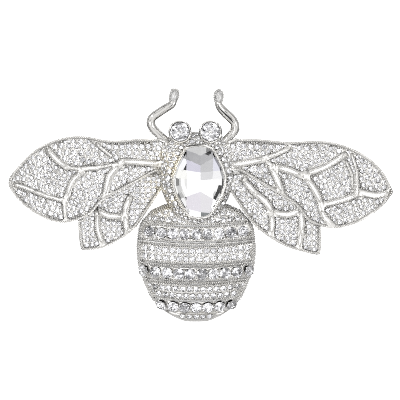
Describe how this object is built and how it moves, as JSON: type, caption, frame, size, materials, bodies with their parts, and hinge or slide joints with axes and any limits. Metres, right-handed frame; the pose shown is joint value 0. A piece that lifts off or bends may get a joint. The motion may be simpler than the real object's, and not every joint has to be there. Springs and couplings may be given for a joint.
{
  "type": "bee brooch set with crystals",
  "caption": "Metal bee brooch with spread pierced wings, domed banded abdomen, large faceted centre stone, round crystal eyes, curved antennae, and a pin bar on its back.",
  "frame": {"origin": "middle of the brooch's outline seen from above, on the surface that it lies on", "axes": "+X along the wings towards the bee's right-hand wing as seen from above with the head up, +Y towards the head, +Z out of the stones"},
  "size_m": [0.0772, 0.0467, 0.0102],
  "materials": {
    "rhodium_metal": "bright rhodium plate",
    "pin_steel": "plain drawn wire and strip",
    "crystal": "clear foil-backed cut crystal"
  },
  "bodies": {
    "root": {"frame": "rhodium_metal", "pin": "pin_steel", "centre_stone": "crystal", "left_eye_stone": "crystal", "right_eye_stone": "crystal", "neck_row_stones": "crystal", "upper_small_stones": "crystal", "lower_small_stones": "crystal", "tail_stones": "crystal", "thorax_stones": "crystal", "left_wing_stones": "crystal", "right_wing_stones": "crystal", "upper_row_stone_1": "crystal", "upper_row_stone_2": "crystal", "upper_row_stone_3": "crystal", "upper_row_stone_4": "crystal", "upper_row_stone_5": "crystal", "upper_row_stone_6": "crystal", "upper_row_stone_7": "crystal", "upper_row_stone_8": "crystal", "upper_row_stone_9": "crystal", "middle_row_stone_1": "crystal", "middle_row_stone_2": "crystal", "middle_row_stone_3": "crystal", "middle_row_stone_4": "crystal", "middle_row_stone_5": "crystal", "middle_row_stone_6": "crystal", "middle_row_stone_7": "crystal", "middle_row_stone_8": "crystal", "middle_row_stone_9": "crystal", "middle_row_stone_10": "crystal", "lower_row_stone_1": "crystal", "lower_row_stone_2": "crystal", "lower_row_stone_3": "crystal", "lower_row_stone_4": "crystal", "lower_row_stone_5": "crystal", "lower_row_stone_6": "crystal", "lower_row_stone_7": "crystal"}
  },
  "joints": []
}
